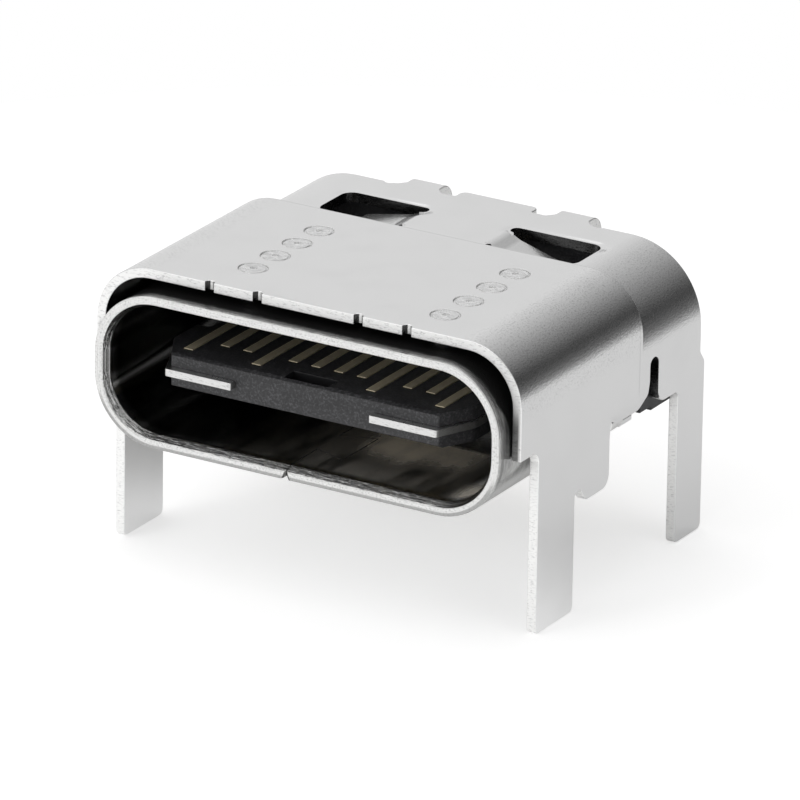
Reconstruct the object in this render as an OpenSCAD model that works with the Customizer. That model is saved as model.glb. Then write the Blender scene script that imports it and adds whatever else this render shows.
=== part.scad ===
// Board-mounted socket for a small reversible plug: a folded outer shell on four solder legs, a rolled
// inner shell, a moulded tongue with two rows of contacts round a steel mid plate, and a rear housing.
// Frame: +Z up from the board surface, -Y out of the mouth, X across the mouth. The origin lies on the
// board surface, under the middle of the inner shell's front edge.

/* [Mouth] */
// Inside width of the mouth
mouth_w = 8.34; // [8.24:0.01:8.6]
// Inside height of the mouth
mouth_h = 2.56; // [2.5:0.01:2.8]
// Inside corner radius of the mouth
mouth_r = 1.08; // [0.8:0.01:1.2]
// Height of the mouth's middle above the board
mouth_z = 1.89; // [1.7:0.01:2.3]
// Lead-in chamfer round the inside of the mouth
lip = 0.09; // [0.04:0.01:0.12]
// Depth of the mouth's lead-in
lip_len = 0.2; // [0.1:0.01:0.3]

/* [Inner shell] */
// Sheet thickness of the inner shell
inner_t = 0.25; // [0.2:0.01:0.3]
// Length of the inner shell
inner_len = 5.2; // [4.9:0.05:5.4]
// Open width of the rolled seam
seam_gap = 0.02; // [0.02:0.01:0.06]
// Distance of the seam's ends from the middle
seam_x = -0.17; // [-0.3:0.01:0.3]
// How far each dovetail reaches across the seam
dovetail_reach = 0.7; // [0.4:0.05:0.9]
// Width of each dovetail at its narrow neck
dovetail_neck = 0.8; // [0.5:0.05:1]
// How much wider a dovetail's head is than its neck
dovetail_flare = 0.5; // [0.2:0.05:0.6]
// Radius of the strip's rounded corner beside the seam
seam_r = 0.15; // [0.05:0.01:0.18]
// Radius of the stop bead on each lower rear corner
bead_r = 0.18; // [0.12:0.01:0.2]
// Length of the stop bead
bead_len = 0.4; // [0.3:0.05:0.6]

/* [Outer shell] */
// Sheet thickness of the outer shell
outer_t = 0.2; // [0.15:0.01:0.22]
// Side clearance between the two shells
shell_gap = 0.02; // [0.01:0.005:0.03]
// Air gap over the inner shell in the front section
top_gap = 0.16; // [0.1:0.01:0.2]
// Set-back of the outer shell behind the mouth
front_y = 0.44; // [0.3:0.01:0.6]
// Where the front section steps down to the rear section
step_y = 5.03; // [4.9:0.01:5.1]
// How much lower the rear section's top is
step_drop = 0.13; // [0.1:0.01:0.14]
// How much narrower each side of the rear section is
step_side = 0.015; // [0.005:0.005:0.015]
// Outside corner radius of the front section
front_r = 1.18; // [1:0.01:1.3]
// Outside corner radius of the rear section
rear_r = 1.55; // [1.4:0.01:1.58]
// Rear edge of the side walls and of the top's corners
wall_rear_y = 7.36; // [7.25:0.01:7.4]
// Rear edge of the top's middle
hood_y = 7.66; // [7.6:0.01:7.8]

/* [Side walls and legs] */
// Length of the legs below the board surface
leg_depth = 2.11; // [1.4:0.01:2.6]
// Front edge of the front legs
leg_a_y = 1.125; // [1:0.005:1.3]
// Width of the front legs
leg_a_w = 1.41; // [1.2:0.01:1.45]
// Front edge of the rear legs
leg_b_y = 6.5; // [6.4:0.01:6.6]
// Width of the rear legs
leg_b_w = 1.03; // [0.9:0.01:1.1]
// Corner radius at the leg tips
leg_tip_r = 0.12; // [0.05:0.01:0.2]
// Height of the walls' lower edge ahead of the front legs
cheek_z = 1.59; // [1.4:0.01:1.8]
// Height where the walls bend inwards between the seats and the slots
wall_low_z = 1.45; // [1.35:0.01:1.5]
// Height of the lower edge of that inward hem
hem_low_z = 1.11; // [1.05:0.01:1.2]
// How far the hem leans inwards at its lower edge
hem_lean = 0.1; // [0.05:0.01:0.12]
// Height of the walls' lower edge ahead of the rear legs
ledge_z = 1.03; // [0.9:0.01:1.15]
// Front end of each board seat
seat_y = 2.95; // [2.9:0.01:3.1]
// Rear end of each board seat
seat_end_y = 3.835; // [3.6:0.005:4]
// Height of the relief between leg and seat
relief_z = 0.27; // [0.2:0.01:0.4]
// Front edge of each wall slot
slot_y = 5.37; // [5.3:0.01:5.45]
// Width of each wall slot
slot_w = 0.34; // [0.3:0.01:0.4]
// Height of each wall slot's round top
slot_top_z = 2.03; // [1.9:0.01:2.2]
// Height where the rear edge steps out to the rear leg
heel_z = 1.56; // [1.4:0.01:1.8]

/* [Top details] */
// Inner ends of the left and right top windows, where the spring tabs are rooted
window_x = [0.85, 1]; // [0.8:0.01:1.05]
// Lengths of the left and right top windows
window_len = [1.88, 1.98]; // [1.8:0.01:2.1]
// Front edge of the top windows
window_y = 5.25; // [5.23:0.01:5.32]
// Width of the top windows
window_w = 1.22; // [1.1:0.01:1.25]
// Corner radius of the top windows
window_r = 0.25; // [0.1:0.01:0.3]
// Free slots ahead of and behind each spring tab
tab_slot = [0.17, 0.27]; // [0.08:0.01:0.3]
// Length of each spring tab
tab_len = 1.33; // [1.1:0.01:1.4]
// How far the tips of the left and right spring tabs dip below the top
tab_dip = [0.28, 0.43]; // [0.2:0.01:0.5]
// Radius of the bend at each spring tab's root
tab_bend_r = 0.4; // [0.2:0.01:0.5]
// Inner edge of each rear flap
flap_x = 1.29; // [1.2:0.01:1.4]
// Width of each rear flap
flap_w = 0.74; // [0.6:0.01:0.8]
// Rear face of the flaps
flap_y = 8.04; // [7.95:0.01:8.1]
// Height of a rear flap from the top to its lower edge
flap_h = 1.16; // [0.8:0.01:1.3]
// Outside bend radius of the rear flaps
flap_r = 0.36; // [0.25:0.01:0.4]
// Half width of the top's middle at the rear edge
hood_x = 0.85; // [0.7:0.01:0.95]
// Inner and outer front-edge notches, distance from the middle
notch_x = [1.1, 2.15]; // [0.8:0.01:2.4]
// Width of a front-edge notch
notch_w = 0.18; // [0.1:0.01:0.25]
// Depth of a front-edge notch
notch_d = 0.12; // [0.08:0.01:0.2]

/* [Welds] */
// Distance of each weld row from the middle
weld_x = [1.86, 2.44]; // [1.5:0.01:2.6]
// First weld of each row
weld_y = [1.55, 1.37]; // [1.2:0.01:1.8]
// Pitch of the welds along each row
weld_pitch = [0.8, 0.863]; // [0.7:0.001:0.9]
// Number of welds in a row
weld_count = 4; // [2:1:4]
// Radius of the ring round each weld
weld_r = 0.3; // [0.2:0.01:0.35]

/* [Housing] */
// Clearance between the inner shell and the housing
housing_gap = 0.02; // [0.01:0.005:0.05]
// Clearance between the outer shell and the housing
housing_fit = 0.03; // [0.02:0.005:0.05]
// Rear face of the housing's lower part
housing_rear_y = 7.62; // [7.6:0.01:7.66]
// Half width of the pad behind which the rear flaps are folded
pad_x = 2.35; // [2.2:0.01:2.5]
// Corner radius of the housing's lower edges
housing_low_r = 1.35; // [1.2:0.01:1.45]
// Radius of the locating pegs
peg_r = 0.25; // [0.2:0.01:0.3]
// Distance of the locating pegs from the middle
peg_x = 2.89; // [2.7:0.01:3]
// Distance of the locating pegs behind the mouth
peg_y = 5.8; // [5.6:0.01:5.9]
// Length of the locating pegs below the board surface
peg_depth = 0.55; // [0.4:0.01:0.8]
// Width of the square standoff round each peg
standoff_w = 0.8; // [0.7:0.01:0.9]

/* [Tongue] */
// Width of the tongue over the mid plate
tongue_w = 6.69; // [6.6:0.01:6.75]
// Thickness of the tongue between its contact faces
tongue_t = 0.7; // [0.66:0.01:0.76]
// Front face of the tongue's moulding
tongue_y = 0.35; // [0.3:0.01:0.5]
// Width of the tongue's front face
nose_w = 5.84; // [5.6:0.01:6]
// Length of the tongue's side tapers
nose_len = 0.7; // [0.5:0.01:0.8]
// Bevel on the front face's long edges
nose_bevel = 0.05; // [0.02:0.01:0.1]
// Depth from the mouth to the plug's stop
stop_y = 6.2; // [6.1:0.01:6.25]
// Where the tongue thickens to its root
root_y = 4.9; // [4.7:0.01:5]
// Thickness of the tongue's root
root_t = 1.1; // [1:0.01:1.2]
// Front end of each latch notch in the tongue's sides
latch_y = 1.9; // [1.8:0.01:2.2]
// Length of each latch notch
latch_len = 1.2; // [0.9:0.01:1.3]
// Depth of each latch notch
latch_d = 0.33; // [0.2:0.01:0.38]
// Width of the core pocket in each contact face
pocket_w = 0.96; // [0.6:0.01:1]
// Length of the core pocket
pocket_len = 0.36; // [0.2:0.01:0.4]

/* [Mid plate and ground pads] */
// Thickness of the mid plate
plate_t = 0.15; // [0.12:0.01:0.18]
// Front edge of the mid plate's two fingers
plate_y = 0.18; // [0.12:0.01:0.3]
// Gap between the mid plate's two fingers
plate_split = 3.02; // [2.8:0.01:3.2]
// Width over the mid plate's two fingers
plate_nose_w = 5.91; // [5.85:0.01:6.1]
// Width of each mid plate tail
plate_tail_w = 0.25; // [0.2:0.01:0.3]
// Thickness of the ground pads
pad_t = 0.1; // [0.08:0.01:0.12]
// Width of the ground pads
pad_w = 6.2; // [5.8:0.01:6.4]

/* [Contacts] */
// Pitch of the contacts
pitch = 0.5; // [0.49:0.01:0.5]
// Width of a contact
contact_w = 0.2; // [0.18:0.01:0.24]
// Thickness of a contact
contact_t = 0.1; // [0.08:0.01:0.12]
// How far a contact stands proud of the tongue
contact_proud = 0.01; // [0.005:0.005:0.02]
// Tip of the long ground and supply contacts
long_tip_y = 0.68; // [0.62:0.01:0.8]
// Tip of the short signal contacts
short_tip_y = 1.19; // [1:0.01:1.4]
// Inside bend radius of the contacts
bend_r = 0.08; // [0.06:0.01:0.1]
// Rear face of the upper row's downward run
upper_drop_y = 7.5; // [7.4:0.01:7.52]
// Rear face of the lower row's downward run
lower_drop_y = 6.7; // [6.6:0.01:6.75]
// Length of the upper row's solder feet behind its downward run
upper_foot = 0.54; // [0.4:0.01:0.6]
// Length of the lower row's solder feet behind its downward run
lower_foot = 0.35; // [0.25:0.01:0.36]
// Clearance between a contact and what it passes through
contact_gap = 0.01; // [0.005:0.005:0.02]

/* [Hidden] */
// Contacts in a standard row
contact_count = 12;

$fn = 64;
arc_steps = 8;
over = 0.5;
steel = [0.78, 0.78, 0.77];
bright_steel = [0.86, 0.86, 0.84];
black_plastic = [0.09, 0.09, 0.095];
grey_plastic = [0.16, 0.16, 0.17];
gold = [0.72, 0.6, 0.33];

inner_hw = mouth_w / 2 + inner_t;
inner_hh = mouth_h / 2 + inner_t;
inner_r = mouth_r + inner_t;
inner_top = mouth_z + inner_hh;
outer_hw = inner_hw + shell_gap + outer_t;
front_top = inner_top + top_gap + outer_t;
rear_hw = outer_hw - step_side;
rear_top = front_top - step_drop;
leg_a_rear = leg_a_y + leg_a_w;
leg_b_rear = leg_b_y + leg_b_w;

housing_y = inner_len + housing_gap;
housing_hw = rear_hw - outer_t - housing_fit;
housing_top = rear_top - outer_t - housing_fit;
housing_bottom = mouth_z - inner_hh - housing_gap;
block_y = stop_y + pad_t;

tongue_top = tongue_t / 2;
side_web = 0.045;
body_hw = tongue_w / 2 - side_web;
root_hh = root_t / 2;
plate_hh = plate_t / 2;
wafer_hw = pitch * (contact_count - 1) / 2 + contact_w / 2 + 0.03;
wafer_y = long_tip_y + 0.17;
wafer_rear_y = upper_drop_y - contact_t - bend_r - 0.04;
wafer_block_hh = 0.8;
contact_under = tongue_top + contact_proud - contact_t;
plate_side = 0.02;
tail_gap = 0.12;
last_contact_side = contact_x(contact_count) + contact_w / 2;
plate_tail_x = max(tongue_w / 2 - plate_side, last_contact_side + tail_gap + plate_tail_w) - plate_tail_w / 2;
tab_under = rear_top - outer_t - max(tab_dip) - mouth_z;
pad_gap = 0.06;
tab_knee = 0.25;
tab_knee_dip = 0.3;
tab_root = 0.12;
hem_z = wall_low_z;
hem_rear_z = hem_z + 0.15;

function contact_name(row, i) = str("contact_", row, "_", i < 10 ? "0" : "", i);
function contact_x(i) = pitch * (i - (contact_count + 1) / 2);
function is_long(i) = i == 1 || i == 4 || i == contact_count - 3 || i == contact_count;
function tip_y(i) = is_long(i) ? long_tip_y : short_tip_y;
function unit(v) = v / norm(v);
function turn(a, b) = (b - a + 540) % 360 - 180;

// Points of the arc of radius p[2] that rounds the corner at p, between its neighbours.
function corner_arc(before, p, after) =
    let (at = [p[0], p[1]],
         u = unit([before[0], before[1]] - at),
         v = unit([after[0], after[1]] - at),
         half = acos(u * v) / 2,
         centre = at + unit(u + v) * p[2] / sin(half),
         first = at + u * p[2] / tan(half) - centre,
         last = at + v * p[2] / tan(half) - centre,
         start = atan2(first[1], first[0]),
         sweep = turn(start, atan2(last[1], last[0])))
    [for (k = [0 : arc_steps]) centre + p[2] * [cos(start + sweep * k / arc_steps), sin(start + sweep * k / arc_steps)]];

// Outline through points [x, y, corner radius].
function outline(pts) =
    [for (i = [0 : len(pts) - 1])
        let (n = len(pts), p = pts[i])
        each p[2] == 0 ? [[p[0], p[1]]] : corner_arc(pts[(i + n - 1) % n], p, pts[(i + 1) % n])];

// Extrudes a shape drawn in X and Z between two places on Y.
module along_y(from, to) {
    translate([0, to, 0]) rotate([90, 0, 0]) linear_extrude(to - from) children();
}

// Extrudes a shape drawn in Y and Z between two places on X.
module along_x(from, to) {
    translate([from, 0, 0]) rotate([90, 0, 90]) linear_extrude(to - from) children();
}

// Extrudes a shape drawn in X and Y between two heights.
module along_z(from, to) {
    translate([0, 0, from]) linear_extrude(to - from) children();
}

module both_sides() {
    children();
    mirror([1, 0, 0]) children();
}

// Box given by its lowest and highest corners.
module span(low, high) {
    translate(low) cube(high - low);
}

// Rounded rectangle about the origin.
module racetrack(hw, hh, r) {
    square([2 * hw, 2 * (hh - r)], center = true);
    square([2 * (hw - r), 2 * hh], center = true);
    for (x = [-1, 1], y = [-1, 1]) translate([x * (hw - r), y * (hh - r)]) circle(r);
}

// Upright arch: round top corners, straight sides down to the bottom.
module arch(hw, top, r, bottom) {
    translate([-hw, bottom]) square([2 * hw, top - r - bottom]);
    translate([-(hw - r), bottom]) square([2 * (hw - r), top - bottom]);
    for (x = [-1, 1]) translate([x * (hw - r), top - r]) circle(r);
}

// Strip of sheet that runs along Y, bends down and stops at a lower height.
module bent_strip(from, outer_face, top, bottom, t, r) {
    translate([from, top - t]) square([outer_face - r - from, t]);
    translate([outer_face - t, bottom]) square([t, top - r - bottom]);
    translate([outer_face - r, top - r]) intersection() {
        square(r);
        difference() {
            circle(r);
            circle(r - t);
        }
    }
}

// ---- Outer shell ----

module front_arch(inset) {
    arch(outer_hw - inset, front_top - inset, front_r - inset, -leg_depth - inset);
}

module rear_arch(inset) {
    arch(rear_hw - inset, rear_top - inset, rear_r - inset, -leg_depth - inset);
}

module side_profile() {
    relief_r = 0.09;
    slot_r = slot_w / 2 - 0.001;
    above = front_top + over;
    polygon(outline([
        [front_y, above, 0],
        [wall_rear_y, above, 0],
        [wall_rear_y, heel_z, 0.1],
        [leg_b_rear, heel_z - (leg_b_rear - wall_rear_y) - 0.05, 0.1],
        [leg_b_rear, -leg_depth, leg_tip_r],
        [leg_b_y, -leg_depth, leg_tip_r],
        [leg_b_y, ledge_z, 0.12],
        [slot_y + slot_w, ledge_z, 0.28],
        [slot_y + slot_w, slot_top_z, slot_r],
        [slot_y, slot_top_z, slot_r],
        [slot_y, hem_rear_z, 0],
        [step_y, hem_rear_z, 0],
        [step_y, hem_z, 0],
        [seat_end_y, hem_z, 0.36],
        [seat_end_y, 0, 0.25],
        [seat_y, 0, 0.16],
        [leg_a_rear + 2.4 * relief_r, relief_z, relief_r],
        [leg_a_rear, relief_z, relief_r],
        [leg_a_rear, -leg_depth, leg_tip_r],
        [leg_a_y, -leg_depth, leg_tip_r],
        [leg_a_y, cheek_z, 0.24],
        [front_y, cheek_z, 0.04]]));
}

module folded_sheet() {
    intersection() {
        union() {
            along_y(front_y, step_y) difference() {
                front_arch(0);
                front_arch(outer_t);
            }
            along_y(step_y - outer_t, step_y) difference() {
                front_arch(0);
                rear_arch(outer_t);
            }
            along_y(step_y - outer_t, leg_b_rear + over) difference() {
                rear_arch(0);
                rear_arch(outer_t);
            }
        }
        along_x(-outer_hw - over, outer_hw + over) side_profile();
    }
}

// Section of the inward hem under a wall whose outer face is at hw, bent at height z.
module hem_section(hw, z, lean) {
    polygon([
        [hw - outer_t, z + 0.1],
        [hw - outer_t, z],
        [hw - outer_t - lean, hem_low_z - 0.1],
        [hw - lean, hem_low_z - 0.1],
        [hw, z],
        [hw, z + 0.1]]);
}

// Lower margin of the walls between seat and slot, leaning inwards.
module wall_hems() {
    both_sides() intersection() {
        union() {
            along_y(seat_end_y, step_y) hem_section(outer_hw, hem_z, hem_lean);
            along_y(step_y - outer_t, slot_y) hem_section(rear_hw, hem_rear_z, 0.7 * hem_lean);
        }
        along_x(outer_hw - 1, outer_hw + over)
            polygon(outline([
                [seat_end_y, hem_rear_z + 0.1, 0],
                [seat_end_y, hem_z - 0.15, 0],
                [seat_end_y + 0.4, hem_low_z, 0.25],
                [step_y + 0.02, hem_low_z, 0.3],
                [slot_y, hem_low_z + 0.22, 0.12],
                [slot_y, hem_rear_z + 0.1, 0]]));
    }
}

// The top's rear edge: a middle tongue and, on each side, the flared root of a flap bent down.
module hood_edge() {
    inside_y = wall_rear_y - 0.12;
    flare = 0.16;
    both_sides() along_z(rear_top - outer_t, rear_top) {
        polygon(outline([
            [-0.01, inside_y, 0],
            [hood_x, inside_y, 0],
            [hood_x, hood_y, 0.14],
            [-0.01, hood_y, 0]]));
        polygon(outline([
            [flap_x - flare, inside_y, 0],
            [flap_x + flap_w + flare, inside_y, 0],
            [flap_x + flap_w + flare, wall_rear_y - 0.03, 0.02],
            [flap_x + flap_w, wall_rear_y + flare, 0.1],
            [flap_x + flap_w, flap_y - flap_r, 0],
            [flap_x, flap_y - flap_r, 0],
            [flap_x, wall_rear_y + flare, 0.1],
            [flap_x - flare, wall_rear_y - 0.03, 0.02]]));
    }
    both_sides()
        along_x(flap_x, flap_x + flap_w)
            bent_strip(wall_rear_y, flap_y, rear_top, rear_top - flap_h, outer_t, flap_r);
}

// Shallow scoop in the top's edge outboard of each flap.
module flap_reliefs() {
    scoop_w = 0.4;
    both_sides()
        along_z(rear_top - 0.5, rear_top + over)
            polygon(outline([
                [flap_x + flap_w + scoop_w, wall_rear_y - 0.06, 0.08],
                [flap_x + flap_w + scoop_w, flap_y, 0],
                [flap_x + flap_w + scoop_w / 2, flap_y, 0],
                [flap_x + flap_w + scoop_w / 2, wall_rear_y - 0.06, 0.08]]));
}

// Room for one window: slots round its tab, open beyond the tip, and the tab's own strip from its root.
module top_window(s) {
    x0 = window_x[s];
    x1 = x0 + window_len[s];
    y0 = window_y;
    y1 = window_y + window_w;
    front = y0 + tab_slot[0];
    rear = y1 - tab_slot[1];
    along_z(rear_top - over, rear_top + over) {
        polygon(outline([
            [x0, y0, tab_slot[0] * 0.45],
            [x1, y0, window_r],
            [x1, y1, window_r],
            [x0, y1, tab_slot[1] * 0.45],
            [x0, rear, tab_slot[1] * 0.45],
            [x0 + tab_len, rear, 0],
            [x0 + tab_len, front, 0],
            [x0, front, tab_slot[0] * 0.45]]));
        translate([x0 - tab_root, front]) square([tab_root + tab_len + 0.01, rear - front]);
    }
}

module spring_tab(s) {
    x0 = window_x[s];
    dip = tab_dip[s];
    y0 = window_y + tab_slot[0];
    y1 = window_y + window_w - tab_slot[1];
    tip = x0 + tab_len;
    under = rear_top - outer_t;
    intersection() {
        along_y(y0, y1)
            polygon(outline([
                [x0 - tab_root - 0.01, under, 0],
                [x0, under, tab_bend_r - outer_t],
                [x0 + tab_knee, under - tab_knee_dip * dip, tab_bend_r + outer_t],
                [tip, under - dip, 0],
                [tip, rear_top - dip, 0.08],
                [x0 + tab_knee + 0.03, rear_top - tab_knee_dip * dip, tab_bend_r],
                [x0 + 0.03, rear_top, tab_bend_r],
                [x0 - tab_root - 0.01, rear_top, 0]]));
        along_z(rear_top - 2, rear_top + over)
            polygon(outline([
                [x0 - tab_root - 0.01, y0, 0],
                [tip, y0, 0.15],
                [tip, y1, 0.15],
                [x0 - tab_root - 0.01, y1, 0]]));
    }
}

module at_welds() {
    for (row = [0, 1], k = [0 : weld_count - 1])
        translate([(2 * row - 1) * weld_x[row], weld_y[row] + k * weld_pitch[row], 0]) children();
}

module weld_nuggets() {
    at_welds() translate([0, 0, inner_top]) cylinder(r = weld_r * 0.7, h = top_gap + outer_t / 2);
}

module weld_rings() {
    ring_w = 0.05;
    ring_d = 0.015;
    pit_r = 0.06;
    at_welds() {
        translate([0, 0, front_top - ring_d]) difference() {
            cylinder(r = weld_r, h = ring_d + over);
            translate([0, 0, -over]) cylinder(r = weld_r - ring_w, h = 3 * over);
        }
        translate([0, 0, front_top - 2 * ring_d]) cylinder(r = pit_r, h = over);
    }
}

module front_notches() {
    both_sides()
        for (x = notch_x)
            along_z(front_top - 2 * outer_t, front_top + over) translate([x, front_y + notch_d - notch_w / 2]) {
                circle(notch_w / 2);
                translate([-notch_w / 2, -over]) square([notch_w, over]);
            }
}

module outer_shell() {
    color(steel) {
        difference() {
            union() {
                folded_sheet();
                wall_hems();
                hood_edge();
                weld_nuggets();
            }
            mirror([1, 0, 0]) top_window(0);
            top_window(1);
            flap_reliefs();
            front_notches();
            weld_rings();
        }
        mirror([1, 0, 0]) spring_tab(0);
        spring_tab(1);
    }
}

// ---- Inner shell ----

// Wedge ring that cuts the lead-in chamfer round the mouth's front edge.
module mouth_chamfer() {
    hw = mouth_w / 2 - mouth_r;
    hh = mouth_h / 2 - mouth_r;
    module wedge() {
        far = 1.5;
        slope = lip / lip_len;
        polygon([
            [mouth_r + lip - far * lip_len * slope, -over],
            [mouth_r + lip + over * slope, -over],
            [mouth_r + lip - far * lip_len * slope, far * lip_len]]);
    }
    translate([0, 0, mouth_z]) {
        for (x = [-1, 1], z = [-1, 1])
            translate([x * hw, 0, z * hh]) rotate([-90, 0, 0]) rotate_extrude() wedge();
        for (s = [0, 180]) rotate([0, s, 0]) {
            translate([hw, 0, 0]) along_z(-hh, hh) wedge();
            rotate([0, -90, 0]) translate([hh, 0, 0]) along_z(-hw, hw) wedge();
        }
    }
}

// Slot that follows a run of straight pieces, with round joints.
module slot_path(pts, w) {
    for (i = [0 : len(pts) - 2]) {
        step = pts[i + 1] - pts[i];
        translate(pts[i]) rotate(atan2(step[1], step[0])) translate([0, -w / 2]) square([norm(step), w]);
        translate(pts[i]) circle(w / 2);
    }
}

// Rolled seam: one dovetail each way between straight ends.
module seam() {
    half = dovetail_neck / 2;
    flare = dovetail_flare / 2;
    first = inner_len * 0.3;
    second = inner_len * 0.7;
    right = seam_x + dovetail_reach;
    left = seam_x - dovetail_reach;
    slot_path([
        [seam_x, -over],
        [seam_x, first - half],
        [right, first - half - flare],
        [right, first + half + flare],
        [seam_x, first + half],
        [seam_x, second - half],
        [left, second - half - flare],
        [left, second + half + flare],
        [seam_x, second + half],
        [seam_x, inner_len + over]], seam_gap);
}

// Corners of the strip's two ends at the mouth: rounded on the left, leaning on the right.
module seam_corner() {
    lean = seam_r / 3;
    along_y(-over, 2 * seam_r) translate([seam_x, mouth_z - inner_hh]) {
        difference() {
            translate([-seam_gap / 2 - seam_r, -over]) square([seam_gap + seam_r, seam_r + over]);
            translate([-seam_gap / 2 - seam_r, seam_r]) circle(seam_r);
        }
        polygon([[0, seam_r], [seam_gap / 2, seam_r], [seam_gap / 2 + lean, 0], [seam_gap / 2 + lean, -over], [0, -over]]);
    }
}

module stop_beads() {
    reach = inner_r - bead_r / 3;
    bead_turn = 43;
    both_sides()
        along_y(inner_len - bead_len - 0.1, inner_len - 0.1)
            translate([inner_hw - inner_r + reach * cos(bead_turn), mouth_z - inner_hh + inner_r - reach * sin(bead_turn)])
                circle(bead_r);
}

module inner_shell() {
    color(bright_steel) difference() {
        union() {
            along_y(0, inner_len) translate([0, mouth_z]) difference() {
                racetrack(inner_hw, inner_hh, inner_r);
                racetrack(mouth_w / 2, mouth_h / 2, mouth_r);
            }
            stop_beads();
        }
        mouth_chamfer();
        along_z(mouth_z - inner_hh - over, mouth_z - mouth_h / 4) seam();
        seam_corner();
    }
}

// ---- Contacts ----

// Side view of a contact: beam from its tip, bend, downward run, bend and solder foot.
module contact_profile(tip, under, drop_y, foot) {
    r = bend_r + contact_t;
    bent_strip(tip, drop_y, under + contact_t, r, contact_t, r);
    translate([drop_y + bend_r, 0]) square([foot - bend_r, contact_t]);
    translate([drop_y + bend_r, r]) intersection() {
        translate([-r, -r]) square(r);
        difference() {
            circle(r);
            circle(bend_r);
        }
    }
}

module contact(i, under, drop_y, foot) {
    x = contact_x(i);
    color(gold) along_x(x - contact_w / 2, x + contact_w / 2) contact_profile(tip_y(i), under, drop_y, foot);
}

module upper_contact(i) {
    contact(i, mouth_z + contact_under, upper_drop_y, upper_foot);
}

module lower_contact(i) {
    contact(i, mouth_z - contact_under - contact_t, lower_drop_y, lower_foot);
}

// Space for each contact of a row with its clearance, square at the bends.
module contact_channels(under, drop_y, gap) {
    side = contact_w / 2 + gap;
    for (i = [1 : contact_count]) {
        x = contact_x(i);
        span([x - side, tip_y(i) - gap, under - gap], [x + side, drop_y + gap, under + contact_t + gap]);
        span([x - side, drop_y - contact_t - bend_r / 2 - gap, -over], [x + side, drop_y + gap, under + gap]);
    }
}

module upper_channels() {
    contact_channels(mouth_z + contact_under, upper_drop_y, contact_gap);
}

module lower_channels() {
    contact_channels(mouth_z - contact_under - contact_t, lower_drop_y, contact_gap);
}

// ---- Mid plate and ground pads ----

// Half outline of the mid plate, on the +X side.
module plate_outline(gap) {
    half = tongue_w / 2 + gap;
    nose = plate_nose_w / 2 + gap;
    taper_y = tongue_y + nose_len;
    polygon(outline([
        [-0.01, tongue_y + 0.22 - gap, 0],
        [plate_split / 2 - gap, tongue_y + 0.22 - gap, 0],
        [plate_split / 2 - gap, plate_y - gap, 0.03],
        [nose, plate_y - gap, 0.06],
        [half, taper_y - gap, 0.3],
        [half, latch_y + gap, 0.05],
        [half - latch_d, latch_y + gap, 0.1],
        [half - latch_d, latch_y + latch_len - gap, 0.1],
        [half, latch_y + latch_len - gap, 0.05],
        [half, root_y - gap, 0],
        [half - latch_d, root_y + latch_d - gap, 0],
        [half - latch_d, stop_y - latch_d + gap, 0],
        [half, stop_y + gap, 0],
        [plate_tail_x + plate_tail_w / 2 + plate_side + gap, stop_y + gap, 0],
        [plate_tail_x + plate_tail_w / 2 + plate_side + gap, lower_drop_y - over / 2 + gap, 0],
        [-0.01, lower_drop_y - over / 2 + gap, 0]]));
}

module plate_solid(gap) {
    along_z(mouth_z - plate_hh - gap, mouth_z + plate_hh + gap) {
        plate_outline(gap);
        mirror([1, 0]) plate_outline(gap);
    }
}

// Downward tail at each rear corner of the mid plate.
module plate_tails(gap) {
    r = bend_r + plate_t;
    half = plate_tail_w / 2 + gap;
    both_sides()
        along_x(plate_tail_x - half, plate_tail_x + half) {
            bent_strip(lower_drop_y - over, lower_drop_y + gap, mouth_z + plate_hh + gap, -gap, plate_t + 2 * gap, r);
            if (gap == 0) translate([lower_drop_y - plate_t, 0]) square([plate_t + lower_foot, contact_t]);
            else translate([lower_drop_y - plate_t - gap, -over]) square([plate_t + 2 * gap, mouth_z + over]);
        }
}

module mid_plate() {
    color(bright_steel) {
        plate_solid(0);
        plate_tails(0);
    }
}

// Plate over one face of the tongue's root, with a flange against the housing.
module ground_pad() {
    half = pad_w / 2;
    flange_top = min(mouth_h / 2, tab_under) - pad_gap;
    hole_r = 0.25;
    difference() {
        union() {
            span([-half, root_y + 0.06, root_hh], [half, block_y, root_hh + pad_t]);
            span([-half, stop_y, root_hh], [half, block_y, flange_top]);
        }
        both_sides() translate([half / 2, (root_y + stop_y) / 2, 0]) cylinder(r = hole_r, h = flange_top);
    }
}

module upper_ground_pad() {
    color(bright_steel) translate([0, 0, mouth_z]) ground_pad();
}

module lower_ground_pad() {
    color(bright_steel) translate([0, 0, mouth_z]) mirror([0, 0, 1]) ground_pad();
}

// ---- Wafers, tongue and housing ----

// Carrier strip under a row of contacts: thin in the tongue, thick in the housing.
module wafer() {
    thin_top = contact_under;
    span([-wafer_hw, wafer_y, plate_hh], [wafer_hw, block_y + 0.01, thin_top]);
    span([-wafer_hw, block_y, plate_hh], [wafer_hw, wafer_rear_y, wafer_block_hh]);
}

module upper_wafer() {
    color(black_plastic) difference() {
        translate([0, 0, mouth_z]) wafer();
        upper_channels();
    }
}

module lower_wafer() {
    color(black_plastic) difference() {
        translate([0, 0, mouth_z]) mirror([0, 0, 1]) wafer();
        lower_channels();
        plate_tails(contact_gap);
    }
}

module tongue_plan() {
    polygon(outline([for (s = [1, -1]) each let (
        pts = [
            [nose_w / 2, tongue_y, 0.05],
            [body_hw, tongue_y + nose_len, 0.3],
            [body_hw, latch_y, 0.05],
            [tongue_w / 2 - latch_d, latch_y, 0.1],
            [tongue_w / 2 - latch_d, latch_y + latch_len, 0.1],
            [body_hw, latch_y + latch_len, 0.05],
            [body_hw, block_y, 0]],
        n = len(pts))
        [for (k = [0 : n - 1]) let (p = pts[s > 0 ? k : n - 1 - k]) [s * p[0], p[1], p[2]]]]));
}

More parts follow.
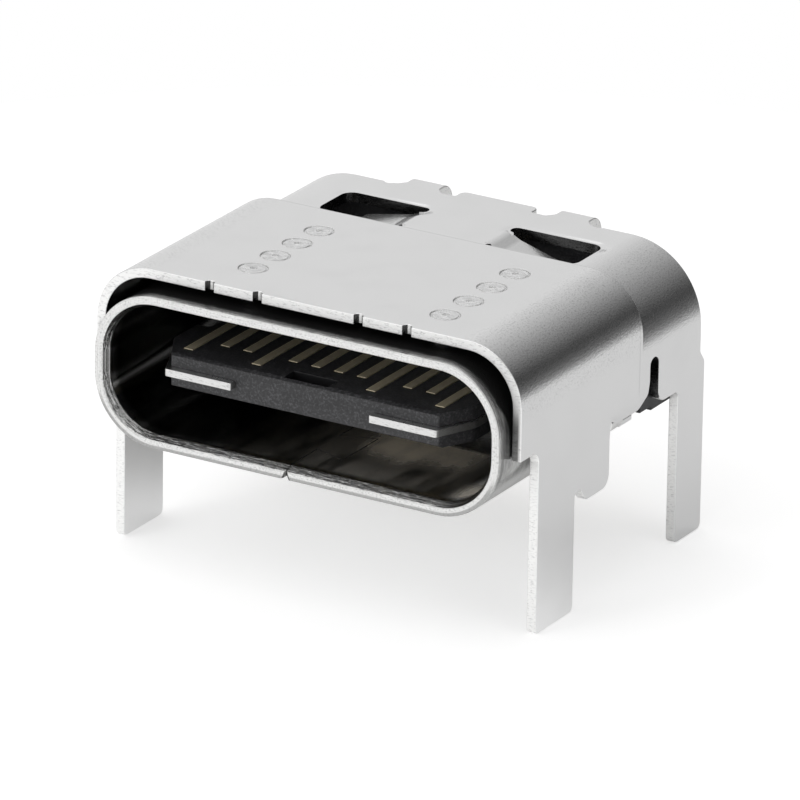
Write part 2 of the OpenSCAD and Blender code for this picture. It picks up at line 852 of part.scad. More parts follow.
module tongue_side() {
    bevel_len = 2 * nose_bevel;
    step_len = 0.12;
    polygon([
        [tongue_y, tongue_top - nose_bevel],
        [tongue_y + bevel_len, tongue_top],
        [root_y, tongue_top],
        [root_y + step_len, root_hh],
        [block_y, root_hh],
        [block_y, -root_hh],
        [root_y + step_len, -root_hh],
        [root_y, -tongue_top],
        [tongue_y + bevel_len, -tongue_top],
        [tongue_y, -tongue_top + nose_bevel]]);
}

module core_pockets() {
    floor_z = plate_hh + 0.06;
    pocket_y = tongue_y + 0.08;
    for (s = [0, 1]) mirror([0, 0, s])
        span([-pocket_w / 2, pocket_y, floor_z], [pocket_w / 2, pocket_y + pocket_len, tongue_top + over]);
}

module tongue() {
    color(grey_plastic) difference() {
        translate([0, 0, mouth_z]) difference() {
            intersection() {
                along_z(-root_t, root_t) tongue_plan();
                along_x(-tongue_w, tongue_w) tongue_side();
            }
            wafer();
            mirror([0, 0, 1]) wafer();
            core_pockets();
        }
        plate_solid(0);
        upper_channels();
        lower_channels();
    }
}

// Outside section of the housing: follows the rear shell above and the inner shell below.
module housing_section() {
    upper_r = rear_r - outer_t - housing_fit;
    split_z = mouth_z;
    intersection() {
        arch(housing_hw, housing_top, upper_r, split_z - 3);
        union() {
            translate([-housing_hw, split_z]) square([2 * housing_hw, 3]);
            translate([0, split_z]) mirror([0, 1])
                arch(housing_hw, split_z - housing_bottom, housing_low_r, -1);
        }
    }
}

// Openings in the housing's top for the two spring tabs.
module tab_clearance() {
    side = 0.12;
    x0 = min(window_x) - side;
    x1 = max(window_x + window_len) + side;
    both_sides()
        span([x0, housing_y - over, mouth_z + mouth_h / 2 - 0.35], [x1, window_y + window_w + side, housing_top + over]);
}

// Ribs of the housing that fill the space inside the walls above the board.
module side_ribs() {
    rib_w = 0.65;
    low = ledge_z - 0.15;
    both_sides() {
        span([housing_hw - rib_w, slot_y + 0.05, low], [housing_hw, slot_y + slot_w + 0.15, mouth_z]);
        span([housing_hw - rib_w, slot_y + slot_w + 0.14, low - 0.08], [housing_hw, leg_b_y + leg_b_w / 2, mouth_z]);
    }
}

module locating_pegs() {
    tip_h = 0.12;
    both_sides() translate([peg_x, peg_y, 0]) {
        translate([0, 0, -peg_depth]) cylinder(r1 = peg_r - 0.08, r2 = peg_r, h = tip_h);
        translate([0, 0, -peg_depth + tip_h]) cylinder(r = peg_r, h = peg_depth - tip_h + 0.1);
        translate([-standoff_w / 2, -standoff_w / 2, 0]) cube([standoff_w, standoff_w, housing_bottom + inner_t / 2]);
    }
}

// Raised pad on the rear face, behind which the shell's flaps are folded down.
module rear_pad() {
    pad_low = mouth_z + tongue_top + 0.1;
    pad_high = rear_top - flap_r - 0.25;
    span([-pad_x, housing_rear_y - over, pad_low], [pad_x, flap_y - outer_t - housing_fit, pad_high]);
}

module housing() {
    socket_gap = contact_gap;
    color(black_plastic) difference() {
        union() {
            along_y(housing_y, housing_rear_y) housing_section();
            rear_pad();
            locating_pegs();
            side_ribs();
        }
        along_y(housing_y - over, block_y) translate([0, mouth_z]) racetrack(mouth_w / 2, mouth_h / 2, mouth_r);
        tab_clearance();
        span([-wafer_hw - socket_gap, stop_y, mouth_z - wafer_block_hh - socket_gap],
             [wafer_hw + socket_gap, wafer_rear_y + socket_gap, mouth_z + wafer_block_hh + socket_gap]);
        plate_solid(contact_gap);
        plate_tails(contact_gap);
        upper_channels();
        lower_channels();
        for (i = [1 : contact_count])
            span([contact_x(i) - contact_w / 2 - contact_gap, upper_drop_y - contact_t, -over],
                 [contact_x(i) + contact_w / 2 + contact_gap, housing_rear_y + over, mouth_z + tongue_top]);
    }
}

outer_shell();
inner_shell();
housing();
tongue();
upper_wafer();
lower_wafer();
mid_plate();
upper_ground_pad();
lower_ground_pad();
for (i = [1 : contact_count]) {
    upper_contact(i);
    lower_contact(i);
}
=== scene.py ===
"""A board-mounted socket for a small reversible plug.

A drawn steel mouth, a stamped steel cover, black mouldings and plated contacts, each a dressed copy of its CAD
node, stand in a plain studio. Sizes are in millimetres of the row's frame, except where metres are named.
"""

import logging
import math
from dataclasses import dataclass, field
from enum import Enum
from typing import Callable, Optional, Union

import bmesh
import bpy
import numpy as np
from mathutils import Matrix, Vector
from mathutils.bvhtree import BVHTree


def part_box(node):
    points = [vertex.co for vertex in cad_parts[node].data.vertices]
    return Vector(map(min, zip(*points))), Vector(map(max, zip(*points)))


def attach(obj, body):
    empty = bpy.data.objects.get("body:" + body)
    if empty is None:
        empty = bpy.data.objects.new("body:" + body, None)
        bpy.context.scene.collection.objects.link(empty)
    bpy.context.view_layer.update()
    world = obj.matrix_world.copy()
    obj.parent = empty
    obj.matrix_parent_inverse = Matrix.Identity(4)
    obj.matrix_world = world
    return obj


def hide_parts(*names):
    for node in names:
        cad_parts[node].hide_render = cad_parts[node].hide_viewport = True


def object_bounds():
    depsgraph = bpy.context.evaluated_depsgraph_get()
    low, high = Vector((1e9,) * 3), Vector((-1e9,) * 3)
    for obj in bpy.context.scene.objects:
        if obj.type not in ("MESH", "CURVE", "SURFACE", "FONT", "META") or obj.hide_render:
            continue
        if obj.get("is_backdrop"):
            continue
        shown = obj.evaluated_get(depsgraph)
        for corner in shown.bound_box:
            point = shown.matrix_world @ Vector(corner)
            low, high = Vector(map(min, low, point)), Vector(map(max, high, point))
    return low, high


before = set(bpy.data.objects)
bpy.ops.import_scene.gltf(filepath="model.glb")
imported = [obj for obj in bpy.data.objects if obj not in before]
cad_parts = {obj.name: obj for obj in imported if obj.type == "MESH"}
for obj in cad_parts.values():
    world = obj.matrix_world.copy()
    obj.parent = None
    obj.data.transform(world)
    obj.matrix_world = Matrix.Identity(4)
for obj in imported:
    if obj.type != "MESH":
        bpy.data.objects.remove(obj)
CAD_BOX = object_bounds()

MM = 0.001
LOG = logging.getLogger("socket")

Triple = tuple[float, float, float]
Colour = Triple
Rule = Callable[[bpy.types.MeshPolygon], bool]
Share = Callable[[Vector], float]
Span = tuple[float, float]

BLACK: Colour = (0.0, 0.0, 0.0)
WHITE: Colour = (1.0, 1.0, 1.0)


# ---------------------------------------------------------------- shader maths


class Wire:
    """One value on its way between shader nodes; sums written in Python add Math nodes."""

    def __init__(self, bench: "NodeBench", socket: bpy.types.NodeSocket) -> None:
        """Keeps the bench that makes nodes and the output socket."""
        self.bench = bench
        self.socket = socket

    def maths(self, operation: str, *values: "Feed") -> "Wire":
        """Adds one Math node with these operands."""
        return self.bench.node("ShaderNodeMath", {"operation": operation}, dict(enumerate(values)))

    def __add__(self, other: "Feed") -> "Wire":
        """self + other."""
        return self.maths("ADD", self, other)

    def __radd__(self, other: "Feed") -> "Wire":
        """other + self."""
        return self.maths("ADD", other, self)

    def __sub__(self, other: "Feed") -> "Wire":
        """self - other."""
        return self.maths("SUBTRACT", self, other)

    def __rsub__(self, other: "Feed") -> "Wire":
        """other - self."""
        return self.maths("SUBTRACT", other, self)

    def __mul__(self, other: "Feed") -> "Wire":
        """self * other."""
        return self.maths("MULTIPLY", self, other)

    def __rmul__(self, other: "Feed") -> "Wire":
        """other * self."""
        return self.maths("MULTIPLY", other, self)

    def __truediv__(self, other: "Feed") -> "Wire":
        """self / other."""
        return self.maths("DIVIDE", self, other)

    def __pow__(self, other: "Feed") -> "Wire":
        """self ** other."""
        return self.maths("POWER", self, other)

    def __abs__(self) -> "Wire":
        """The size of self without its sign."""
        return self.maths("ABSOLUTE", self)

    def most(self, other: "Feed") -> "Wire":
        """The larger of the two."""
        return self.maths("MAXIMUM", self, other)

    def least(self, other: "Feed") -> "Wire":
        """The smaller of the two."""
        return self.maths("MINIMUM", self, other)

    def root(self) -> "Wire":
        """The square root."""
        return self.maths("SQRT", self)

    def nearest(self) -> "Wire":
        """The nearest whole number."""
        return self.maths("ROUND", self)

    def rise(self, low: float, high: float) -> "Wire":
        """A smooth step from 0 at low to 1 at high; with low above high it falls instead.

        Args:
            low: Where the step starts.
            high: Where the step ends.

        Returns:
            The step, from 0 to 1.
        """
        start, end, first, last = (low, high, 0.0, 1.0) if low < high else (high, low, 1.0, 0.0)
        return self.bench.node(
            "ShaderNodeMapRange",
            {"interpolation_type": "SMOOTHSTEP"},
            {"Value": self, "From Min": start, "From Max": end, "To Min": first, "To Max": last},
        )

    def band(self, start: float, full: float, fade: float, end: float) -> "Wire":
        """1 from full to fade, and 0 below start and above end."""
        return self.rise(start, full) * self.rise(end, fade)

    def beside(self, place: float, close: float, far: float) -> "Wire":
        """1 within close of a place, and 0 farther than far from it."""
        return abs(self - place).rise(far, close)


Feed = Union[Wire, float, tuple]
Spot = tuple[Wire, Wire, Wire]


class NodeBench:
    """The nodes of one material or world, cleared at the start."""

    def __init__(self, tree: bpy.types.NodeTree) -> None:
        """Takes over a node tree."""
        self.tree = tree
        tree.nodes.clear()

    def node(
        self,
        kind: str,
        settings: Optional[dict[str, object]] = None,
        feeds: Optional[dict[Union[str, int], Feed]] = None,
        output: Union[str, int] = 0,
    ) -> Wire:
        """Adds any node, sets its own settings first and then its sockets.

        Args:
            kind: The node's type name.
            settings: Properties of the node.
            feeds: Values or wires by socket name or number.
            output: The output that the wire leaves from.

        Returns:
            A wire from that output.
        """
        made = self.tree.nodes.new(kind)
        for name, value in (settings or {}).items():
            setattr(made, name, value)
        for name, feed in (feeds or {}).items():
            socket = made.inputs[name]
            if isinstance(feed, Wire):
                self.tree.links.new(feed.socket, socket)
            elif isinstance(feed, tuple) and len(feed) == 3 and socket.type == "RGBA":
                socket.default_value = (*feed, 1.0)
            else:
                socket.default_value = feed
        return Wire(self, made.outputs[output])

    def place(self) -> Spot:
        """Reads the point being shaded.

        Returns:
            Its x, y and z in millimetres.
        """
        spot = self.node("ShaderNodeTexCoord", output="Object")
        scaled = self.node("ShaderNodeVectorMath", {"operation": "SCALE"}, {0: spot, "Scale": 1 / MM})
        parts = self.node("ShaderNodeSeparateXYZ", feeds={0: scaled})
        return tuple(Wire(self, parts.socket.node.outputs[i]) for i in range(3))

    def point(self, x: Feed, y: Feed, z: Feed) -> Wire:
        """A vector from three values."""
        return self.node("ShaderNodeCombineXYZ", feeds={0: x, 1: y, 2: z})

    def noise(self, spot: Wire, scale: float, detail: float = 2.0, roughness: float = 0.5) -> Wire:
        """Soft cloudy noise from 0 to 1 at so many cells a millimetre."""
        return self.node(
            "ShaderNodeTexNoise",
            {"noise_dimensions": "3D"},
            {"Vector": spot, "Scale": scale, "Detail": detail, "Roughness": roughness},
        )

    def grain(self, spot: Spot, cells: Triple, detail: float, roughness: float = 0.5) -> Wire:
        """Noise drawn out along an axis, with its own number of cells a millimetre on each axis.

        Args:
            spot: The point being shaded.
            cells: Cells a millimetre along x, y and z.
            detail: How many finer layers it has.
            roughness: How strong the finer layers are.

        Returns:
            The noise, from 0 to 1.
        """
        scaled = [place * count if count != 1.0 else place for place, count in zip(spot, cells)]
        return self.noise(self.point(*scaled), 1.0, detail, roughness)

    def blend(self, share: Feed, first: Union[Wire, Colour], second: Union[Wire, Colour]) -> Wire:
        """A colour between first, at share 0, and second, at share 1.

        Args:
            share: How much of the second colour.
            first: One colour.
            second: The other colour.

        Returns:
            The mixed colour.
        """
        made = self.node("ShaderNodeMix", {"data_type": "RGBA"}, {0: share}, output=2)
        for index, feed in ((6, first), (7, second)):
            socket = made.socket.node.inputs[index]
            if isinstance(feed, Wire):
                self.tree.links.new(feed.socket, socket)
            else:
                socket.default_value = (*feed, 1.0)
        return made

    def relief(self, height: Feed, depth: float, under: Optional[Wire] = None) -> Wire:
        """A bumped normal.

        Args:
            height: The relief, from 0 to 1.
            depth: Its depth in millimetres.
            under: A normal that it is laid over.

        Returns:
            The normal.
        """
        feeds: dict[Union[str, int], Feed] = {"Height": height, "Distance": depth * MM, "Strength": 1.0}
        if under is not None:
            feeds["Normal"] = under
        return self.node("ShaderNodeBump", feeds=feeds)

    def surface(self, **feeds: Feed) -> None:
        """Adds the Principled shader and the output.

        Args:
            feeds: Values or wires by socket name, with underscores for spaces.
        """
        named = {name.replace("_", " "): feed for name, feed in feeds.items()}
        shader = self.node("ShaderNodeBsdfPrincipled", feeds=named)
        self.end_in(shader)

    def end_in(self, shader: Wire, kind: str = "ShaderNodeOutputMaterial") -> None:
        """Ends the tree in this shader, with an output node of this kind."""
        end = self.tree.nodes.new(kind)
        self.tree.links.new(shader.socket, end.inputs["Surface"])


def new_material(name: str) -> tuple[bpy.types.Material, NodeBench]:
    """Starts a node material.

    Args:
        name: The material's name.

    Returns:
        The material and the bench for its nodes.
    """
    material = bpy.data.materials.new(name)
    material.use_nodes = True
    return material, NodeBench(material.node_tree)


# ---------------------------------------------------------------- finishes


@dataclass(frozen=True)
class WeldRow:
    """One line of laser welds on the cover's top, all sizes in millimetres."""

    x: float
    y: float
    pitch: float
    count: int = 4


@dataclass(frozen=True)
class Window:
    """The outline of a window in the cover's top, in millimetres."""

    x0: float
    x1: float
    y0: float = 5.25
    y1: float = 6.47

    def holds(self, x: float, y: float, margin: float) -> bool:
        """Whether a place is in the window or within a margin round it."""
        return self.x0 - margin < x < self.x1 + margin and self.y0 - margin < y < self.y1 + margin


@dataclass
class Coat:
    """A finish's shade, roughness and normal while marks are added to them."""

    shade: Wire
    rough: Wire
    normal: Wire


@dataclass(frozen=True)
class SatinSheet:
    """Nickel-plated strip with a faint rolled grain that runs from front to back."""

    name: str = "satin_nickel_sheet"
    colour: Colour = (0.86, 0.86, 0.86)
    roughness: float = 0.15
    grain: float = 0.004
    top: float = 3.6
    step: float = 5.03
    welds: tuple[WeldRow, ...] = ()
    weld_radius: float = 0.3
    weld_rim: float = 0.03
    weld_relief: float = 0.03
    windows: tuple[Window, ...] = ()
    drawn_width: float = 0.2
    drawn_relief: float = 0.042

    def rollover(self, x: Wire, y: Wire) -> Wire:
        """How far the sheet has drawn down beside the windows' rear and outer edges.

        Args:
            x: Place across the top.
            y: Place along it.

        Returns:
            1 at a window's edge and 0 away from it.
        """
        drawn: Optional[Wire] = None
        for window in self.windows:
            middle, half = (window.x0 + window.x1) / 2, (window.x1 - window.x0) / 2
            across = (abs(x - middle) - (half - self.drawn_width)).most(0.0)
            behind = (y - (window.y1 - self.drawn_width)).most(0.0)
            away = (across**2.0 + behind**2.0).root() - self.drawn_width
            at_rear = y.rise(window.y1 - 0.5, window.y1 - 0.1)
            outwards = 0.35 + x.rise(window.x0, window.x1) * 0.65
            near = away.rise(self.drawn_width, 0.0) * at_rear * outwards
            drawn = near if drawn is None else drawn.most(near)
        return drawn

    def weld_distance(self, x: Wire, y: Wire) -> Wire:
        """The distance to the nearest weld.

        Args:
            x: Place across the top.
            y: Place along it.

        Returns:
            The distance in millimetres.
        """
        near: Optional[Wire] = None
        for row in self.welds:
            turn = (y - row.y) / row.pitch
            number = turn.nearest().most(0.0).least(row.count - 1.0)
            along = (turn - number) * row.pitch
            away = ((x - row.x) ** 2.0 + along**2.0).root()
            near = away if near is None else near.least(away)
        return near

    def mark_welds(self, bench: NodeBench, spot: Spot, coat: Coat) -> None:
        """Adds the rippled metal inside each weld ring and the pit in its middle.

        Args:
            bench: The material's bench.
            spot: The point being shaded.
            coat: The finish so far, which is changed.
        """
        x, y, z = spot
        away = self.weld_distance(x, y)
        on_top = z.rise(self.top - 0.1, self.top)
        inside = away.rise(self.weld_radius, self.weld_radius - self.weld_rim) * on_top
        pit = (away - 0.03).rise(0.07, 0.01) * on_top
        ripple = bench.noise(bench.point(x, y, z), 8.0, 4.0, 0.6)
        coat.rough = coat.rough + inside * ripple * 0.2
        coat.shade = coat.shade - inside * ripple.rise(0.4, 0.7) * 0.16 + pit * 0.3
        coat.normal = bench.relief(inside * ripple * 1.1 + pit * 0.4, self.weld_relief, coat.normal)

    def mark_windows(self, bench: NodeBench, spot: Spot, coat: Coat) -> None:
        """Adds the drawn-down rims of the windows, and painted shadows along the step on the top and down the
        side.

        Args:
            bench: The material's bench.
            spot: The point being shaded.
            coat: The finish so far, which is changed.
        """
        x, y, z = spot
        on_top = z.rise(self.top - 0.1, self.top)
        coat.normal = bench.relief(1.0 - self.rollover(x, y) * on_top, self.drawn_relief, coat.normal)
        # Painted shadow: dark lines along the step on the top and down the side.
        on_step = y.beside(self.step - 0.012, 0.01, 0.03) * on_top
        down_side = y.beside(self.step - 0.1, 0.012, 0.035) * abs(x).rise(4.5, 4.6) * z.rise(1.3, 1.6)
        coat.shade = coat.shade - on_step * 0.14 - down_side * 0.1

    def make(self) -> bpy.types.Material:
        """Builds the material.

        Returns:
            The material.
        """
        material, bench = new_material(self.name)
        x, y, z = spot = bench.place()
        rolled = bench.grain(spot, (26.0, 7.0, 26.0), 3.0, 0.6)
        cloud = bench.noise(bench.point(x, y, z), 1.3, 2.0)
        fine = bench.grain(spot, (30.0, 22.0, 30.0), 2.0)
        coat = Coat(
            shade=0.94 + cloud * 0.08 + rolled * 0.03,
            rough=self.roughness + rolled * 0.05 + cloud * 0.03,
            normal=bench.relief(rolled * 0.35 + fine * 0.65, self.grain),
        )
        if self.welds:
            self.mark_welds(bench, spot, coat)
            bend = abs(x).rise(3.2, 3.7) * z.rise(2.2, 2.6)
            coat.shade = coat.shade - bend * fine.rise(0.48, 0.75) * 0.22 + bend * fine.rise(0.5, 0.3) * 0.08
        if self.windows:
            self.mark_windows(bench, spot, coat)
        tone = bench.blend(coat.shade, BLACK, self.colour)
        bench.surface(Base_Color=tone, Metallic=1.0, Roughness=coat.rough, Normal=coat.normal)
        return material


@dataclass(frozen=True)
class ShearedEdge:
    """The cut edge of the sheet, part burnished by the punch and part torn.

    Two settings paint shade: one on the inner half of the cover's front edge, low on both sides, and one on the
    rear of a plate's edge. Each number says how dark that painted shade is.
    """

    name: str = "sheared_steel_edge"
    colour: Colour = (0.97, 0.97, 0.96)
    dull: Colour = (0.6, 0.6, 0.6)
    roughness: float = 0.34
    relief: float = 0.004
    cheek_shade: float = 0.0
    rear_shade: float = 0.0

    def make(self) -> bpy.types.Material:
        """Builds the material.

        Returns:
            The material.
        """
        material, bench = new_material(self.name)
        x, y, z = spot = bench.place()
        torn = bench.grain(spot, (10.0, 24.0, 36.0), 3.0, 0.7)
        streak = bench.grain(spot, (6.0, 20.0, 20.0), 2.0)
        tone = bench.blend(torn.rise(0.3, 0.5) * 0.8 + streak * 0.2, self.dull, self.colour)
        # Painted shade on the low inner half of the cover's front edge.
        if self.cheek_shade:
            low = z.band(1.5, 1.6, 2.2, 2.7) * y.rise(0.5, 0.46)
            inner = abs(x).rise(4.6, 4.56)
            tone = bench.blend(low * inner * self.cheek_shade * (0.4 + torn), tone, (0.03, 0.03, 0.03))
        # Painted shade on the rear of a plate's edge.
        if self.rear_shade:
            tone = bench.blend(y.rise(0.2, 0.27) * self.rear_shade, tone, (0.02, 0.02, 0.02))
        normal = bench.relief(torn, self.relief)
        bench.surface(Base_Color=tone, Metallic=1.0, Roughness=self.roughness + streak * 0.12, Normal=normal)
        return material


@dataclass(frozen=True)
class MouthSteel:
    """The drawn mouth, brushed along its rim where the edge was rolled.

    A ring is the distance from the flats' end lines: the wall runs at the same ring all the way round.
    """

    half_straight: Span
    middle: float
    seam_x: float
    outer_ring: float = 1.33
    scratch_y: float = 2.62
    bend_x: float = 3.5
    name: str = "brushed_mouth_steel"
    colour: Colour = (0.92, 0.92, 0.91)
    film_and_light_colour: Colour = (0.95, 0.87, 0.74)
    shaded: Colour = (0.03, 0.03, 0.03)
    roughness: float = 0.09
    brushed: float = 0.0025
    worn: float = 0.008

    def film_and_light_share(self, bench: NodeBench, spot: Spot) -> Wire:
        """How much pale, brownish coat lies at a place on the mouth's floor, part tint and part painted light.

        Args:
            bench: The material's bench.
            spot: The point being shaded.

        Returns:
            The film's share, from 0 to 1.
        """
        x, y, z = spot
        height = z - self.middle
        soft = bench.grain(spot, (2.2, 0.6, 1.0), 2.0)
        grain = bench.grain(spot, (12.0, 9.0, 1.0), 3.0, 0.7)
        before = y.rise(2.75, 2.55)
        brown = x.band(-2.4, 0.4, 2.6, 3.4) * before * soft.rise(0.3, 0.62) * 0.3
        # Painted light: a pale, less metallic patch on the right of the floor, where light falls through the
        # mouth.
        painted_light_patch = x.band(0.2, 0.9, 2.2, 3.0) * y.rise(1.0, 2.1) * before * (0.7 + soft * 0.6)
        line = y.beside(self.scratch_y, 0.02, 0.09) * x.band(-3.4, -2.6, 0.4, 1.6)
        scratch = line * grain.rise(0.42, 0.6) * 0.6
        # Painted light: a pale strip on the lower right bend.
        bend = x.beside(self.bend_x, 0.1, 0.55) * y.rise(1.5, 0.8) * (0.5 + grain * 0.5)
        on_floor = (brown + painted_light_patch).most(scratch) * (0.7 + grain * 0.5) * height.rise(-0.9, -1.1)
        return (on_floor + bend * height.rise(-0.4, -0.8)).least(1.0)

    def make(self) -> bpy.types.Material:
        """Builds the material.

        Returns:
            The material.
        """
        material, bench = new_material(self.name)
        x, y, z = spot = bench.place()
        side = (abs(x) - self.half_straight[0]).most(0.0)
        rise = (abs(z - self.middle) - self.half_straight[1]).most(0.0)
        ring = (side**2.0 + rise**2.0).root()
        turn = rise.maths("ARCTAN2", rise, side)

        lines = bench.noise(bench.point(ring * 46.0 + y * 46.0, x * 2.4 + turn * 2.4, 0.0), 1.0, 3.0, 0.65)
        scratched = bench.noise(bench.point(ring * 70.0 + y * 70.0, x * 5.0 + turn * 5.0, 1.0), 1.0, 3.0, 0.7)
        even = bench.point(x, y, z)
        speck = bench.noise(even, 30.0, 2.0)
        dusty = bench.noise(even, 24.0, 3.0, 0.7)
        grit = bench.noise(even, 34.0, 3.0, 0.7)

        rim = y.rise(0.03, 0.005)
        worked = y.rise(0.24, 0.18)
        lead_in = worked - rim
        low = (z - self.middle).rise(-0.5, -0.9)
        # Painted shade: a grey band along the outer lower edge of the rim, standing in for a rounded edge that
        # mirrors the shaded floor.
        rolled = rim * low * ring.rise(self.outer_ring - 0.095, self.outer_ring - 0.06)
        sunk = (self.middle - 1.36 - z).most(0.0) * 0.4
        split = (abs(x - self.seam_x) - sunk).rise(0.045, 0.02) * rim * low
        within = ring.rise(self.outer_ring - 0.06, self.outer_ring - 0.1) * y.rise(0.24, 0.5)
        outside = ring.rise(self.outer_ring - 0.06, self.outer_ring - 0.02)
        # Painted shade: the outside under the cover, in the gap between the shells, is painted near black and
        # given less metal.
        covered = outside * y.rise(0.12, 0.3) * z.rise(self.middle - 0.9, self.middle + 0.4)
        # Painted shade: mottled dark metal on the outside just behind the lower rim.
        beside_rim = outside * y.rise(0.04, 0.14) * (z - self.middle).rise(-0.95, -0.6)
        film_and_light = within * self.film_and_light_share(bench, spot)

        shade = (lines * 0.5 + speck * 0.2 + 0.5).least(1.0)
        shade = shade - lead_in * scratched.rise(0.54, 0.38) * 0.6 - rim * dusty.rise(0.5, 0.36) * 0.22
        shade = shade * (1.0 - rolled * (0.3 + lines * 0.3)) * (1.0 - split * 0.85)
        # Painted shade: the inside beyond the lead-in is darkened, more towards the left.
        shade = shade * (1.0 - within * (0.45 + x.rise(1.0, -2.0) * 0.4))
        tone = bench.blend(shade.most(0.0), BLACK, self.colour)
        mottled = beside_rim * scratched.rise(0.3, 0.6)
        tone = bench.blend((covered * 0.93).most(mottled * 0.75), tone, self.shaded)
        tone = bench.blend(film_and_light, tone, self.film_and_light_colour)
        normal = bench.relief(lines * 0.7 + speck * 0.3, self.brushed)
        normal = bench.relief(lines * lead_in + grit * rim * 0.5, self.worn, normal)
        rough = self.roughness + lines * 0.05 + worked * 0.12 + rim * 0.14 + film_and_light * 0.25
        metal = 1.0 - film_and_light * 0.7 - covered * 0.12
        bench.surface(Base_Color=tone, Metallic=metal, Roughness=rough, Normal=normal)
        return material


@dataclass(frozen=True)
class SeamGap:
    """Dull, unpolished metal down in the rolled seam."""

    name: str = "seam_gap_metal"
    dark: Colour = (0.02, 0.02, 0.02)
    pale: Colour = (0.09, 0.085, 0.08)
    metallic: float = 0.6
    roughness: float = 0.6

    def make(self) -> bpy.types.Material:
        """Builds the material.

        Returns:
            The material.
        """
        material, bench = new_material(self.name)
        grit = bench.noise(bench.point(*bench.place()), 30.0, 3.0)
        tone = bench.blend(grit, self.dark, self.pale)
        bench.surface(Base_Color=tone, Metallic=self.metallic, Roughness=self.roughness + grit * 0.2)
        return material


@dataclass(frozen=True)
class MouldedPlastic:
    """Glass-filled black plastic with a fine spark-eroded texture.

    One setting paints shade into the sunk window in the tongue's upper face, and its number says how much
    darker it is.
    """

    name: str
    dark: Colour = (0.008, 0.008, 0.009)
    pale: Colour = (0.05, 0.05, 0.055)
    roughness: float = 0.42
    pits: float = 0.006
    pocket_shade: float = 0.0
    middle: float = 1.89

    def make(self) -> bpy.types.Material:
        """Builds the material.

        Returns:
            The material.
        """
        material, bench = new_material(self.name)
        x, y, z = spot = bench.place()
        spark = bench.noise(bench.point(x, y, z), 22.0, 3.0, 0.7)
        flow = bench.grain(spot, (1.2, 4.0, 9.0), 3.0)
        fibre = spark.rise(0.45, 0.75)
        share = fibre * 0.7 + flow * 0.2
        if self.pocket_shade:
            # Painted shade in the sunk window of the tongue.
            sunk = abs(x).rise(0.5, 0.47) * y.band(0.42, 0.44, 0.8, 0.82) * z.beside(self.middle, 0.33, 0.345)
            share = share * (1.0 - sunk * self.pocket_shade)
        tone = bench.blend(share, self.dark, self.pale)
        normal = bench.relief(spark, self.pits)
        bench.surface(Base_Color=tone, Roughness=self.roughness + fibre * 0.12, Normal=normal)
        return material


@dataclass(frozen=True)
class GoldPlating:
    """Thin gold over nickel, drawn lengthwise and a little worn in places."""

    name: str = "contact_gold_plating"
    gold: Colour = (0.86, 0.74, 0.48)
    worn: Colour = (0.82, 0.77, 0.62)
    metallic: float = 0.72
    roughness: float = 0.42
    relief: float = 0.0025

    def make(self) -> bpy.types.Material:
        """Builds the material.

        Returns:
            The material.
        """
        material, bench = new_material(self.name)
        spot = bench.place()
        drawn = bench.grain(spot, (30.0, 3.0, 30.0), 3.0)
        cloud = bench.noise(bench.point(*spot), 2.6, 2.0)
        tone = bench.blend(drawn * 0.5 + cloud * 0.4, self.gold, self.worn)
        normal = bench.relief(drawn, self.relief)
        rough = self.roughness + cloud * 0.14
        bench.surface(Base_Color=tone, Metallic=self.metallic, Roughness=rough, Normal=normal)
        return material


class Finish(Enum):
    """The record's material slots."""

    SHELL = "shell_steel"
    MOUTH = "mouth_steel"
    HOUSING = "black_plastic"
    TONGUE = "tongue_plastic"
    CONTACT = "contact_gold"


# ---------------------------------------------------------------- mesh work


